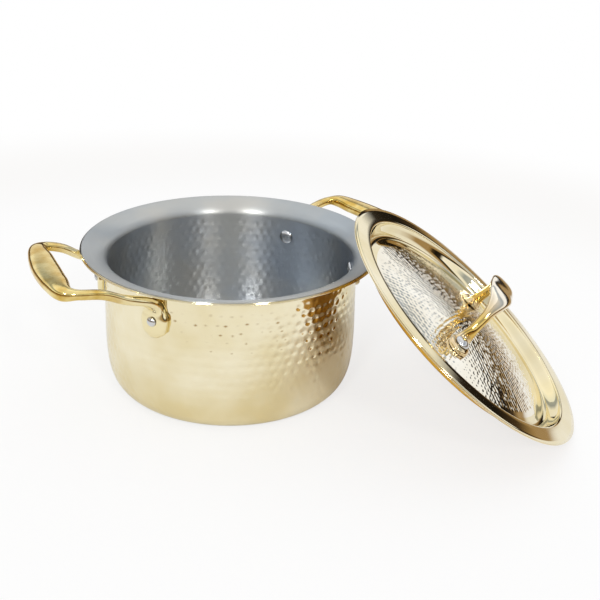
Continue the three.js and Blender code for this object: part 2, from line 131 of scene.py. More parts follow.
# The room's light on the object, and the shades that its metal mirrors from the horizon up
ROOM_LIGHT = 0.5
ROOM_TOP_COLOUR = "#A8A8A8"
ROOM_SHADES = (
    (0.03, "#463622"),
    (0.07, "#1C1814"),
    (0.13, "#2A2219"),
    (0.165, "#FFFFFF"),
    (0.34, "#FFFFFF"),
    (0.44, "#A4ACB6"),
    (0.55, "#BCC4CE"),
    (0.66, "#D8D8D8"),
)
# Lamps: the way each shines, its power in watts per square metre, and its spread in degrees
LAMPS = (
    ("overhead", (-0.05, -0.15, -1), 0.95, 100),
    ("front left", (0.8, 0.6, -0.7), 0.85, 9),
    ("front right", (0.12, 0.99, -0.65), 0.6, 9),
)

# Camera, fitted to the photograph's outlines: its place in millimetres, the way ahead on the ground, how
# far it looks down and how far it is rolled, in radians, and its lens
CAMERA_PLACE = (-349.07, -587.72, 378.70)
CAMERA_AHEAD = (0.5807, 0.8141)
CAMERA_PITCH = 0.4275
CAMERA_ROLL = 0.0393
CAMERA_LENS = 54
CAMERA_SENSOR = 36
CAMERA_CLIP_END = 50

# Lid handle
LID_RIVET_REACH = 49.0
LID_HANDLE_TURN = -7.5
LID_HANDLE_SHIFT = 4.0
LID_FOOT = (18.0, 19.0, 4.0)
LID_LEG = (7.8, 7.0)
LID_GRIP_REACH = 28.0
LID_GRIP_HEIGHT = 39.0
LID_GRIP = (22.0, 6.5)
# Heights on the lid's handle between which its brass is deep gold, with a pale painted highlight above and
# below, and how pale that painted highlight makes its feet
LID_LEG_DEEP = (6.0, 22.0)
LID_FOOT_PAINTED_HIGHLIGHT_SHARE = 0.4

# Rivets: how finely their heads are meshed
RIVET_SEGMENTS = 40
RIVET_RINGS = 28

# Finishes: the stretch of a noise over which colour and gloss change, how far a spun grain is drawn out,
# and the turn, as a part of a full one, that lays a spun metal's highlights across its grain
PATCH_RANGE = (0.35, 0.65)
GRAIN_RANGE = (0.3, 0.7)
SPUN_STRETCH = 0.05
QUARTER_TURN = 0.25


# Profiles and turned sheets


def progress(value, start, end):
    """How far a value has come from a start to an end, from 0 to 1."""
    return min(max((value - start) / (end - start), 0), 1)


def bezier(a, b, c, steps):
    """Points along a quadratic curve from a to c, bent towards b."""
    points = []
    for step in range(steps + 1):
        t = step / steps
        points.append(a * (1 - t) ** 2 + b * (2 * t * (1 - t)) + c * t**2)
    return points


def offset(points, distance):
    """A profile moved sideways, to its left as it runs."""
    moved = []
    for i, point in enumerate(points):
        arriving = (point - points[max(i - 1, 0)]).normalized()
        leaving = (points[min(i + 1, len(points) - 1)] - point).normalized()
        first = leaving if i == 0 else arriving
        second = arriving if i == len(points) - 1 else leaving
        bisector = (first + second).normalized()
        stretch = distance / abs(bisector.dot(first))
        place = point + Vector((-bisector.y, bisector.x)) * stretch
        moved.append(Vector((0.0 if point.x == 0 else place.x, place.y)))
    return moved


def spaced(points, pitch):
    """A profile with extra points, so that no two are further apart than the pitch."""
    dense = [points[0]]
    for before, after in zip(points, points[1:]):
        parts = max(1, math.ceil((after - before).length / pitch))
        dense += [before.lerp(after, part / parts) for part in range(1, parts + 1)]
    return dense


def lip(start, end):
    """A half-round edge between the two faces of a sheet, without its end points."""
    middle = (start + end) / 2
    arm = start - middle
    out = Vector((arm.y, -arm.x)) if arm.y < 0 else Vector((-arm.y, arm.x))
    turns = [math.pi * step / LIP_STEPS for step in range(1, LIP_STEPS)]
    return [middle + arm * math.cos(turn) + out * (math.sin(turn) * LIP_BULGE) for turn in turns]


def turned(name, profile, columns, marked):
    """A closed profile turned around Z. marked(index, point) says how strongly a ring of it is hammered."""
    body = bmesh.new()
    layer = body.verts.layers.float.new("hammering")
    rings = []
    for point in profile:
        if point.x < 1e-6:
            rings.append([body.verts.new((0, 0, point.y * MM))])
            continue
        ring = []
        for column in range(columns):
            angle = 2 * math.pi * column / columns
            place = (point.x * math.cos(angle), point.x * math.sin(angle), point.y)
            ring.append(body.verts.new(Vector(place) * MM))
        rings.append(ring)
    pairs = list(zip(rings, rings[1:]))
    if len(rings[0]) > 1:
        pairs.append((rings[-1], rings[0]))
    for low, high in pairs:
        for column in range(columns):
            after = (column + 1) % columns
            if len(low) == 1 and len(high) == 1:
                break
            if len(low) == 1:
                body.faces.new((low[0], high[after], high[column]))
            elif len(high) == 1:
                body.faces.new((low[column], low[after], high[0]))
            else:
                body.faces.new((low[column], low[after], high[after], high[column]))
    bmesh.ops.recalc_face_normals(body, faces=body.faces)
    for index, (point, ring) in enumerate(zip(profile, rings)):
        for vertex in ring:
            vertex[layer] = marked(index, point)
    mesh = bpy.data.meshes.new(name)
    body.to_mesh(mesh)
    body.free()
    piece = bpy.data.objects.new(name, mesh)
    bpy.context.scene.collection.objects.link(piece)
    return piece


def pot_profile(corner_steps=36, flare_steps=22):
    """Outside of the pot from the centre of its base to its rim."""
    points = [Vector((0, 0)), Vector((BASE_RADIUS, 0))]
    for step in range(1, corner_steps + 1):
        angle = step / corner_steps * math.pi / 2
        across = math.sin(angle) ** (2 / CORNER_SQUARENESS)
        up = 1 - math.cos(angle) ** (2 / CORNER_SQUARENESS)
        radius = BASE_RADIUS + (BELLY_RADIUS - BASE_RADIUS) * across
        points.append(Vector((radius, CORNER_HEIGHT * up)))
    under = RIM_HEIGHT - WALL_BUILD
    points += bezier(
        Vector((NECK_RADIUS, RIM_HEIGHT - FLARE_HEIGHT)),
        Vector((NECK_RADIUS, under - FLARE_SLOPE_HEIGHT)),
        Vector((RIM_RADIUS, under)),
        flare_steps,
    )
    return points


def shortened(points, setback):
    """A profile whose last point is drawn back by a setback."""
    run = points[-1] - points[-2]
    return points[:-1] + [points[-1] - run.normalized() * setback]


def wall_radius(height):
    """Outside radius of the straight wall."""
    share = (height - CORNER_HEIGHT) / (RIM_HEIGHT - FLARE_HEIGHT - CORNER_HEIGHT)
    return BELLY_RADIUS + (NECK_RADIUS - BELLY_RADIUS) * share


def lid_profile(bend_steps=8):
    """Upper face of the lid from its centre to its edge."""
    half = LID_DOME_RADIUS / 2
    rim, low = LID_GROOVE_RADIUS + LID_GROOVE_ROUND, -LID_GROOVE_DEPTH
    crest = LID_CREST_RADIUS - LID_CREST_ROUND
    points = bezier(
        Vector((0, LID_DOME_TOP)),
        Vector((half, LID_DOME_TOP)),
        Vector((LID_DOME_RADIUS, -LID_DOME_EDGE_DEPTH)),
        LID_DOME_STEPS,
    )
    points += bezier(
        Vector((LID_GROOVE_RADIUS - LID_GROOVE_ROUND, low)),
        Vector((rim, low)),
        Vector((rim, low + LID_GROOVE_ROUND)),
        bend_steps,
    )
    points += bezier(
        Vector((crest, -LID_CREST_ROUND)),
        Vector((crest, 0)),
        Vector((LID_CREST_RADIUS, 0)),
        bend_steps,
    )
    return points + [Vector((LID_RADIUS, -LID_FLANGE_DROP))]


# Hammer marks: Geometry Nodes over any sheet that carries the attribute "hammering"


def add_node(tree, kind, settings=(), links=()):
    """A node with its settings, and its inputs either linked to a socket or set to a value."""
    node = tree.nodes.new(kind)
    for key, value in dict(settings).items():
        setattr(node, key, value)
    for key, value in dict(links).items():
        if isinstance(value, bpy.types.NodeSocket):
            tree.links.new(value, node.inputs[key])
        else:
            node.inputs[key].default_value = value
    return node


def maths(tree, operation, *values):
    """The result of a maths node on sockets or values."""
    return add_node(tree, "ShaderNodeMath", {"operation": operation}, dict(enumerate(values))).outputs[0]


def mapped(tree, value, limits, interpolation="LINEAR"):
    """A value carried from one range to another."""
    settings = {"interpolation_type": interpolation}
    return add_node(tree, "ShaderNodeMapRange", settings, {"Value": value, **limits}).outputs[0]


def mixed(tree, share, first, second):
    """A colour between two colours, each of them a socket or a value."""
    links = {0: share, 6: first, 7: second}
    return add_node(tree, "ShaderNodeMix", {"data_type": "RGBA"}, links).outputs[2]


def new_tree(name, inputs):
    """A geometry tree with a geometry in and out, and the named inputs."""
    tree = bpy.data.node_groups.new(name, "GeometryNodeTree")
    tree.interface.new_socket("Geometry", in_out="INPUT", socket_type="NodeSocketGeometry")
    for label, kind in inputs:
        tree.interface.new_socket(label, in_out="INPUT", socket_type=kind)
    tree.interface.new_socket("Geometry", in_out="OUTPUT", socket_type="NodeSocketGeometry")
    return tree, tree.nodes.new("NodeGroupInput"), tree.nodes.new("NodeGroupOutput")


def hammer_tree():
    """Round dents of random strength, laid around Z from a first ring to a last and dropped onto the sheet.

    Each mark is turned on from the one before it by Turn, and by Coil for each metre that the radius grows.
    """
    tree, given, made = new_tree(
        "planishing marks",
        [
            ("Marks", "NodeSocketInt"),
            ("First Ring", "NodeSocketVector"),
            ("Last Ring", "NodeSocketVector"),
            ("Turn", "NodeSocketFloat"),
            ("Coil", "NodeSocketFloat"),
            ("Wander", "NodeSocketFloat"),
            ("Mark Radius", "NodeSocketFloat"),
            ("Mark Depth", "NodeSocketFloat"),
            ("Seed", "NodeSocketInt"),
            ("Finish", "NodeSocketMaterial"),
        ],
    )
    g = given.outputs
    strength = add_node(
        tree, "GeometryNodeInputNamedAttribute", {"data_type": "FLOAT"}, {"Name": "hammering"}
    ).outputs["Attribute"]
    number = add_node(tree, "GeometryNodeInputIndex").outputs[0]
    share = maths(tree, "DIVIDE", number, g["Marks"])
    first = add_node(tree, "ShaderNodeSeparateXYZ", {}, {0: g["First Ring"]}).outputs
    last = add_node(tree, "ShaderNodeSeparateXYZ", {}, {0: g["Last Ring"]}).outputs
    # The squares of the radii are spaced evenly, so that the marks cover a dome evenly
    first_square = maths(tree, "MULTIPLY", first[0], first[0])
    last_square = maths(tree, "MULTIPLY", last[0], last[0])
    radius = maths(tree, "SQRT", mapped(tree, share, {"To Min": first_square, "To Max": last_square}))
    height = mapped(tree, share, {"To Min": first[2], "To Max": last[2]})
    stepped = maths(tree, "MULTIPLY", number, g["Turn"])
    coiled = maths(tree, "MULTIPLY", radius, g["Coil"])
    turn = maths(tree, "ADD", stepped, coiled)
    x = maths(tree, "MULTIPLY", radius, maths(tree, "COSINE", turn))
    y = maths(tree, "MULTIPLY", radius, maths(tree, "SINE", turn))
    ring = add_node(tree, "ShaderNodeCombineXYZ", {}, {0: x, 1: y, 2: height}).outputs[0]
    stray = add_node(
        tree,
        "FunctionNodeRandomValue",
        {"data_type": "FLOAT_VECTOR"},
        {0: (-1.0, -1.0, -1.0), 1: (1.0, 1.0, 1.0), "ID": number, "Seed": g["Seed"]},
    ).outputs[0]
    wander = add_node(
        tree, "ShaderNodeVectorMath", {"operation": "SCALE"}, {0: stray, "Scale": g["Wander"]}
    ).outputs[0]
    place = add_node(tree, "ShaderNodeVectorMath", {"operation": "ADD"}, {0: ring, 1: wander}).outputs[0]
    aimed = add_node(
        tree, "GeometryNodePoints", {}, {"Count": g["Marks"], "Position": place, "Radius": MM}
    ).outputs[0]
    sheet = add_node(tree, "GeometryNodeProximity", {"target_element": "FACES"}, {0: g["Geometry"]})
    blows = add_node(
        tree, "GeometryNodeSetPosition", {}, {"Geometry": aimed, "Position": sheet.outputs["Position"]}
    ).outputs[0]
    reach = add_node(tree, "GeometryNodeProximity", {"target_element": "POINTS"}, {0: blows})
    nearest = add_node(tree, "GeometryNodeSampleNearest", {}, {0: blows})
    force = add_node(
        tree,
        "FunctionNodeRandomValue",
        {"data_type": "FLOAT"},
        {2: BLOW_FORCE[0], 3: BLOW_FORCE[1], "ID": nearest.outputs[0], "Seed": g["Seed"]},
    ).outputs[1]
    limits = {"From Max": g["Mark Radius"], "To Min": 1.0, "To Max": 0.0}
    dent = mapped(tree, reach.outputs["Distance"], limits, "SMOOTHSTEP")
    struck = maths(tree, "MULTIPLY", maths(tree, "MULTIPLY", dent, force), strength)
    inward = maths(tree, "MULTIPLY", maths(tree, "MULTIPLY", struck, g["Mark Depth"]), -1.0)
    shift = add_node(
        tree,
        "ShaderNodeVectorMath",
        {"operation": "SCALE"},
        {0: add_node(tree, "GeometryNodeInputNormal").outputs[0], "Scale": inward},
    ).outputs[0]
    moved = add_node(tree, "GeometryNodeSetPosition", {}, {"Geometry": g["Geometry"], "Offset": shift})
    smooth = add_node(tree, "GeometryNodeSetShadeSmooth", {}, {0: moved.outputs[0], "Shade Smooth": True})
    solid = add_node(tree, "GeometryNodeRealizeInstances", {}, {0: smooth.outputs[0]})
    coated = add_node(
        tree, "GeometryNodeSetMaterial", {}, {"Geometry": solid.outputs[0], "Material": g["Finish"]}
    )
    tree.links.new(coated.outputs[0], made.inputs[0])
    return tree


def ring_at(radius, height):
    """The place of a ring of marks, in metres, from millimetres."""
    return Vector((radius, 0, height)) * MM


def baked(piece, tree, values):
    """The piece as a plain mesh, after a tree with the given named inputs has shaped it."""
    modifier = piece.modifiers.new(tree.name, "NODES")
    modifier.node_group = tree
    for item in tree.interface.items_tree:
        if item.in_out == "INPUT" and item.name in values:
            modifier[item.identifier] = values[item.name]
    piece.update_tag()
    bpy.context.view_layer.update()
    evaluated = piece.evaluated_get(bpy.context.evaluated_depsgraph_get())
    mesh = bpy.data.meshes.new_from_object(evaluated)
    piece.modifiers.remove(modifier)
    mesh.name = piece.name
    piece.data = mesh
    return piece


# Cast handles: bent bars lofted through key sections


def curve_point(keys, t):
    """A point on a centripetal Catmull-Rom curve through the keys, which are counted evenly in t."""
    last = len(keys) - 1
    i = min(int(t * last), last - 1)
    w = t * last - i
    b, c = keys[i], keys[i + 1]
    a = keys[i - 1] if i > 0 else b * 2 - c
    d = keys[i + 2] if i + 2 <= last else c * 2 - b
    middle = math.sqrt((b - c).length) or 1
    first = math.sqrt((a - b).length) or middle
    third = math.sqrt((c - d).length) or middle
    leave = ((b - a) / first - (c - a) / (first + middle) + (c - b) / middle) * middle
    arrive = ((c - b) / middle - (d - b) / (middle + third) + (d - c) / third) * middle
    bend = c * 3 - b * 3 - leave * 2 - arrive
    return b + leave * w + bend * w**2 + (b * 2 - c * 2 + leave + arrive) * w**3


def bent_bar(name, keys, squareness=2.6, around=36, per_key=9):
    """A closed bar with a rounded oblong section.

    A key is its (centre, width, thickness, the way the bar's back faces).
    """
    centres = [Vector(key[0]) for key in keys]
    sizes = [Vector((key[1], key[2], 0)) for key in keys]
    backs = [Vector(key[3]) for key in keys]
    stations = (len(keys) - 1) * per_key
    body = bmesh.new()
    rings = []
    for station in range(stations + 1):
        t = station / stations
        middle, size = curve_point(centres, t), curve_point(sizes, t)
        ahead = curve_point(centres, min(t + 1e-4, 1)) - curve_point(centres, max(t - 1e-4, 0))
        across = ahead.cross(curve_point(backs, t)).normalized()
        through = across.cross(ahead).normalized()
        ring = []
        for corner in range(around):
            angle = 2 * math.pi * corner / around
            c, s = math.cos(angle), math.sin(angle)
            x = math.copysign(abs(c) ** (2 / squareness), c) * size.x / 2
            y = math.copysign(abs(s) ** (2 / squareness), s) * size.y / 2
            ring.append(body.verts.new((middle + across * x + through * y) * MM))
        rings.append(ring)
    for low, high in zip(rings, rings[1:]):
        for corner in range(around):
            after = (corner + 1) % around
            body.faces.new((low[corner], low[after], high[after], high[corner]))
    for ring in (rings[0], rings[-1]):
        centre = body.verts.new(sum((vertex.co for vertex in ring), Vector()) / around)
        for corner in range(around):
            body.faces.new((ring[corner], ring[(corner + 1) % around], centre))
    bmesh.ops.recalc_face_normals(body, faces=body.faces)
    mesh = bpy.data.meshes.new(name)
    body.to_mesh(mesh)
    body.free()
    mesh.polygons.foreach_set("use_smooth", [True] * len(mesh.polygons))
    piece = bpy.data.objects.new(name, mesh)
    bpy.context.scene.collection.objects.link(piece)
    return piece


def joined(half, other):
    """The keys of one half followed by the keys of the other, mirrored in y."""
    flip = Matrix.Diagonal((1, -1, 1))
    mirrored = []
    for at, width, thickness, back in reversed(other[:-1]):
        mirrored.append((flip @ Vector(at), width, thickness, flip @ Vector(back)))
    return half + mirrored


def side_handle_half(word, end):
    """Half of a side handle along +X: a lug on the wall, a leg under the rim, and half the grip."""
    _, grip_reach, grip_skew, grip_height = SIDE_HANDLES[word]
    corner_reach = grip_reach + end * grip_skew
    lug = math.radians(SIDE_RIVET_ANGLE)
    outward, down = Vector((math.cos(lug), math.sin(lug), 0)), Vector((0, 0, -1))
    stand = FIT_GAP + (SIDE_LUG[2] - SEAT_BITE) / 2
    seat = wall_radius(SIDE_RIVET_HEIGHT) * outward
    bend_height = SIDE_RIVET_HEIGHT + SIDE_LUG[1] * 0.6

    def on_wall(height, lift):
        """The middle of the lug at a height, lifted off the wall."""
        return outward * (wall_radius(height) + stand + lift) + Vector((0, 0, height))

    half = []
    # The lug, from its rounded lower end up: rise, width and thickness as shares of its sizes
    for rise, width, thickness in ((-0.5, 0.35, 0.8), (-0.34, 0.85, 1), (0, 1, 1), (0.33, 0.76, 1)):
        at = on_wall(SIDE_RIVET_HEIGHT + SIDE_LUG[1] * rise, 0)
        half.append((at, SIDE_LUG[0] * width, (SIDE_LUG[2] + SEAT_BITE) * thickness, outward))
    # The bend away from the wall, a little wider than the leg
    at = on_wall(bend_height, SIDE_LEG[1] * 0.8)
    half.append((at, SIDE_LEG[0] * 1.3, SIDE_LEG[1] * 1.1, outward + down))
    # The leg: its way out, sideways and up, as shares of the way from the lug to the grip's corner
    for run, spread, rise in ((0.38, 0.6, 0.34), (0.62, 0.96, 0.76), (0.88, 1.04, 0.98)):
        at = Vector((
            seat.x + (corner_reach - seat.x) * run,
            seat.y + (SIDE_LEG_SPREAD / 2 - seat.y) * spread,
            bend_height + (grip_height - bend_height) * rise,
        ))
        half.append((at, SIDE_LEG[0], SIDE_LEG[1], down))
    # The grip, from its corner to its middle, where it is widest and bows out most
    for along, reach, width, thickness in ((0.89, 1, 0.62, 0.9), (0.48, 1.015, 0.92, 1), (0, 1.02, 1, 1)):
        out = (grip_reach + (corner_reach - grip_reach) * along) * reach
        at = Vector((out, SIDE_LEG_SPREAD / 2 * along, grip_height))
        half.append((at, SIDE_GRIP[0] * width, SIDE_GRIP[1] * thickness, down))
    return half


def side_handle(word):
    """A side handle, with its lugs fitted to the round of the wall, and painted pale as a highlight except
    on its grip.
    """
    keys = joined(side_handle_half(word, 1), side_handle_half(word, -1))
    piece = bent_bar(f"cast_handle_{word}", keys)
    piece.data.transform(Matrix.Rotation(math.radians(SIDE_HANDLES[word][0]), 4, "Z"))
    # The lugs near the wall get a pale painted highlight, and the grip none
    painted_highlight_share = piece.data.attributes.new("painted_highlight_share", "FLOAT", "POINT")
    painted_highlight_reach, deep_reach = SIDE_PAINTED_HIGHLIGHT_REACH
    for vertex in piece.data.vertices:
        flat = Vector((vertex.co.x, vertex.co.y))
        painted_highlight_share.data[vertex.index].value = progress(flat.length / MM, deep_reach, painted_highlight_reach)
        nearest = (wall_radius(vertex.co.z / MM) + FIT_GAP) * MM
        if flat.length < nearest:
            flat *= nearest / flat.length
            vertex.co.x, vertex.co.y = flat
    return piece


def dome_height(radius):
    """Height of the lid's dome at a radius."""
    t = radius / LID_DOME_RADIUS
    return LID_DOME_TOP + (-LID_DOME_EDGE_DEPTH - LID_DOME_TOP) * t**2


def dome_normal(reach):
    """The way the dome faces at a reach along Y."""
    step = LID_FOOT[1] / 2
    run = dome_height(reach + step) - dome_height(reach - step)
    return Vector((0, -run, 2 * step)).normalized()


def lid_matrix():
    """Where the lid leans, from its own frame."""
    azimuth = Matrix.Rotation(math.radians(LID_AZIMUTH), 4, "Z")
    tilt = Matrix.Rotation(math.radians(LID_TILT), 4, "Y")
    return Matrix.Translation(Vector(LID_PLACE) * MM) @ azimuth @ tilt


def lid_handle_matrix():
    """Where the lid's handle stands, from its own frame."""
    return lid_matrix() @ Matrix.Rotation(math.radians(LID_HANDLE_TURN), 4, "Z")


def lid_handle_half(end):
    """Half of the lid's handle: a round foot on the dome, a leg, and half of the paddle-shaped grip."""
    up, out = Vector((0, 0, 1)), Vector((0, 1, 0))
    shift = end * LID_HANDLE_SHIFT
    stand = FIT_GAP + (LID_FOOT[2] - SEAT_BITE) / 2
    half = []
    # The foot, from its outer end inwards: place, width and thickness as shares of its sizes
    for along, width, thickness in ((0.5, 0.35, 0.8), (0.34, 0.85, 1), (0, 1, 1), (-0.32, 0.72, 1)):
        reach = LID_RIVET_REACH + shift + LID_FOOT[1] * along
        normal = dome_normal(reach)
        at = Vector((0, reach, dome_height(reach))) + normal * stand
        half.append((at, LID_FOOT[0] * width, (LID_FOOT[2] + SEAT_BITE) * thickness, normal))
    # The leg: its way inwards to the grip and up, as shares
    for inward, rise in ((0.44, 0.28), (0.72, 0.6)):
        reach = LID_RIVET_REACH + (LID_GRIP_REACH - LID_RIVET_REACH) * inward + shift
        half.append((Vector((0, reach, LID_GRIP_HEIGHT * rise)), *LID_LEG, out))
    # The grip, from its end to its middle
    middle = LID_GRIP_HEIGHT - LID_GRIP[1] / 2
    for along, height, width, thickness in ((0.9, 0.93, 0.66, 0.95), (0.5, 1, 0.94, 1), (0, 1, 1, 1)):
        at = Vector((0, LID_GRIP_REACH * along + shift, middle * height))
        half.append((at, LID_GRIP[0] * width, LID_GRIP[1] * thickness, up + out * along))
    return half


def lid_handle():
    """The lid's handle, which stands on the dome, with a painted highlight: pale on its grip and half pale
    on its feet.
    """
    piece = bent_bar("cast_handle_lid", joined(lid_handle_half(-1), lid_handle_half(1)))
    # The grip and, less so, the feet get a pale painted highlight
    painted_highlight_share = piece.data.attributes.new("painted_highlight_share", "FLOAT", "POINT")
    for vertex in piece.data.vertices:
        radius = Vector((vertex.co.x, vertex.co.y)).length / MM
        vertex.co.z = max(vertex.co.z, (dome_height(radius) + FIT_GAP) * MM)
        height = vertex.co.z / MM
        on_grip = progress(height, LID_LEG_DEEP[1], LID_GRIP_HEIGHT)
        on_foot = min(progress(height, LID_LEG_DEEP[0], 0), LID_FOOT_PAINTED_HIGHLIGHT_SHARE)
        painted_highlight_share.data[vertex.index].value = max(on_grip, on_foot)
    piece.data.transform(lid_handle_matrix())
    return piece


# Rivets: Geometry Nodes at points that carry the attribute "facing"


def rivet_tree():
    """A rivet with a domed head and a lower inner head at every point, along the point's facing."""
    lengths = ["Head Radius", "Head Height", "Head Seat", "Inner Radius", "Inner Height", "Inner Seat"]
    tree, given, made = new_tree(
        "rivets", [(label, "NodeSocketFloat") for label in lengths] + [("Finish", "NodeSocketMaterial")]
    )
    g = given.outputs

    def dome(radius, height, seat, way):
        """A ball flattened into a dome on its seat, up for a way of 1 and down for a way of -1."""
        fineness = {"Segments": RIVET_SEGMENTS, "Rings": RIVET_RINGS, "Radius": 1.0}
        ball = add_node(tree, "GeometryNodeMeshUVSphere", {}, fineness).outputs[0]
        place = add_node(tree, "GeometryNodeInputPosition").outputs[0]
        axes = add_node(tree, "ShaderNodeSeparateXYZ", {}, {0: place}).outputs
        x = maths(tree, "MULTIPLY", axes[0], radius)
        y = maths(tree, "MULTIPLY", axes[1], radius)
        above = maths(tree, "MAXIMUM", maths(tree, "MULTIPLY", axes[2], way), 0.0)
        rise = maths(tree, "MULTIPLY", maths(tree, "MULTIPLY", above, height), way)
        z = maths(tree, "ADD", rise, seat)
        where = add_node(tree, "ShaderNodeCombineXYZ", {}, {0: x, 1: y, 2: z}).outputs[0]
        return add_node(
            tree, "GeometryNodeSetPosition", {}, {"Geometry": ball, "Position": where}
        ).outputs[0]

    both = add_node(tree, "GeometryNodeJoinGeometry")
    tree.links.new(dome(g["Head Radius"], g["Head Height"], g["Head Seat"], 1.0), both.inputs[0])
    tree.links.new(dome(g["Inner Radius"], g["Inner Height"], g["Inner Seat"], -1.0), both.inputs[0])
    facing = add_node(
        tree, "GeometryNodeInputNamedAttribute", {"data_type": "FLOAT_VECTOR"}, {"Name": "facing"}
    ).outputs["Attribute"]
    turn = add_node(tree, "FunctionNodeAlignRotationToVector", {"axis": "Z"}, {"Vector": facing}).outputs[0]
    placed = add_node(
        tree,
        "GeometryNodeInstanceOnPoints",
        {},
        {"Points": g["Geometry"], "Instance": both.outputs[0], "Rotation": turn},
    ).outputs[0]
    solid = add_node(tree, "GeometryNodeRealizeInstances", {}, {0: placed}).outputs[0]
    smooth = add_node(tree, "GeometryNodeSetShadeSmooth", {}, {0: solid, "Shade Smooth": True}).outputs[0]
    coated = add_node(
        tree, "GeometryNodeSetMaterial", {}, {"Geometry": smooth, "Material": g["Finish"]}
    )
    tree.links.new(coated.outputs[0], made.inputs[0])
    return tree


def rivet_points(name, places):
    """Points with a facing, given as (place in millimetres, direction)."""
    mesh = bpy.data.meshes.new(name)
    mesh.from_pydata([Vector(place) * MM for place, _ in places], [], [])
    facing = mesh.attributes.new("facing", "FLOAT_VECTOR", "POINT")
    for i, (_, direction) in enumerate(places):
        facing.data[i].vector = direction
    piece = bpy.data.objects.new(name, mesh)
    bpy.context.scene.collection.objects.link(piece)
    return piece


# Finishes


def linear(hexcode, alpha=1.0):
    """An sRGB hex colour as linear values."""
    channels = [int(hexcode[i : i + 2], 16) / 255 for i in (1, 3, 5)]
    return (*[c / 12.92 if c <= 0.04045 else ((c + 0.055) / 1.055) ** 2.4 for c in channels], alpha)


def metal(name, dark, light, patch_mm, roughness, wear, grain_mm, grain_depth_mm, spun=0.0, pale=None):
    """A metal whose colour drifts over patches and whose gloss and fine relief come from its grain.

    A spun metal has its grain drawn out around Z, and its highlights spread across that grain.
    Where a piece carries a share of painted highlight, a pale colour is painted over it.
    """
    material = bpy.data.materials.new(name)
    material.use_nodes = True
    tree = material.node_tree
    surface = next(node for node in tree.nodes if node.type == "BSDF_PRINCIPLED")
    surface.inputs["Metallic"].default_value = 1.0
    place = add_node(tree, "ShaderNodeTexCoord").outputs["Object"]
    patches = add_node(
        tree, "ShaderNodeTexNoise", {}, {"Vector": place, "Scale": 1000 / patch_mm, "Detail": 3.0}
    ).outputs[0]
    spread = mapped(tree, patches, {"From Min": PATCH_RANGE[0], "From Max": PATCH_RANGE[1]})
    colour = mixed(tree, spread, linear(dark), linear(light))
    # A pale painted highlight laid over the colour, where a piece asks for it
    if pale:
        painted_highlight_share = add_node(tree, "ShaderNodeAttribute", {"attribute_name": "painted_highlight_share"}).outputs["Fac"]
        colour = mixed(tree, painted_highlight_share, colour, linear(pale))
    tree.links.new(colour, surface.inputs["Base Color"])
    along = place
    if spun:
        stretch = {"Vector": place, "Scale": (SPUN_STRETCH, SPUN_STRETCH, 1.0)}
        along = add_node(tree, "ShaderNodeMapping", {}, stretch).outputs[0]
        around = add_node(tree, "ShaderNodeTangent", {"direction_type": "RADIAL", "axis": "Z"}).outputs[0]
        tree.links.new(around, surface.inputs["Tangent"])
        surface.inputs["Anisotropic"].default_value = spun
        surface.inputs["Anisotropic Rotation"].default_value = QUARTER_TURN
    grain = add_node(
        tree, "ShaderNodeTexNoise", {}, {"Vector": along, "Scale": 1000 / grain_mm, "Detail": 4.0}
    ).outputs[0]
    limits = {
        "From Min": GRAIN_RANGE[0],
        "From Max": GRAIN_RANGE[1],
        "To Min": roughness - wear,
        "To Max": roughness + wear,
    }
    tree.links.new(mapped(tree, grain, limits), surface.inputs["Roughness"])
    relief = add_node(
        tree, "ShaderNodeBump", {}, {"Strength": 1.0, "Distance": grain_depth_mm * MM, "Height": grain}
    )
    tree.links.new(relief.outputs[0], surface.inputs["Normal"])
    return material


# Sheet brass, hammered and buffed: a pale gold mirror, which each mark breaks into a bright or dark spot
sheet_brass = metal(
    "polished sheet brass",
    "#E8DAAE",
    "#F7EFD3",
    patch_mm=60,
    roughness=0.09,
    wear=0.03,
    grain_mm=1.2,
    grain_depth_mm=0.003,
)
# Sheet brass of the lid, spun on a lathe and buffed: sharper mirror images than the pot's, in a paler gold
lid_brass = metal(
    "spun lid brass",
    "#E7D9AE",
    "#F2E8CA",
    patch_mm=45,
    roughness=0.045,
    wear=0.02,
    grain_mm=1.0,
    grain_depth_mm=0.002,
)
# The lid's hammered dome: the same brass as the rest of the lid, painted almost silver as a painted
# highlight for its bright shine
dome_brass_with_painted_highlight = metal(
    "dome brass with painted highlight",
    "#EFE8D6",
    "#FBF8EE",
    patch_mm=45,
    roughness=0.045,
    wear=0.02,
    grain_mm=1.0,
    grain_depth_mm=0.002,
)
# Sheet brass of the lid's underside, left as it was rolled: a dull, broad shine, in a deeper gold that is
# painted shade and painted golden light bounced between lid and pot
underside_brass_with_painted_shade = metal(
    "rolled underside brass with painted shade",
    "#CC9A38",
    "#E4B650",
    patch_mm=40,
    roughness=0.25,
    wear=0.05,
    grain_mm=1.0,
    grain_depth_mm=0.004,
)
# Cast brass, polished on a wheel: softly waved images, in deep gold on the grips, with the lugs painted
# pale as a painted highlight
cast_brass = metal(
    "polished cast brass",
    "#CDA749",
    "#EFDA96",
    patch_mm=14,
    roughness=0.11,
    wear=0.04,
    grain_mm=2.5,
    grain_depth_mm=0.02,
    pale="#F1E4B8",
)
# The lid's handle, cast and polished alike: deep gold on its legs, with a painted highlight that makes the
# grip nearly silver and the feet paler
cast_brass_with_painted_highlight = metal(
    "polished cast brass with painted highlight",
    "#D2AA52",
    "#DEC074",
    patch_mm=14,
    roughness=0.09,
    wear=0.03,
    grain_mm=2.5,
    grain_depth_mm=0.02,
    pale="#FAF4E6",
)
# Steel lining, burnished on the lathe: a dark, soft grey that draws each light out into an upright stripe
lining_steel = metal(
    "burnished steel lining",
    "#BCC5D0",
    "#CECCC6",
    patch_mm=70,
    roughness=0.31,
    wear=0.015,
    grain_mm=1.5,
    grain_depth_mm=0.002,
    spun=0.92,
)
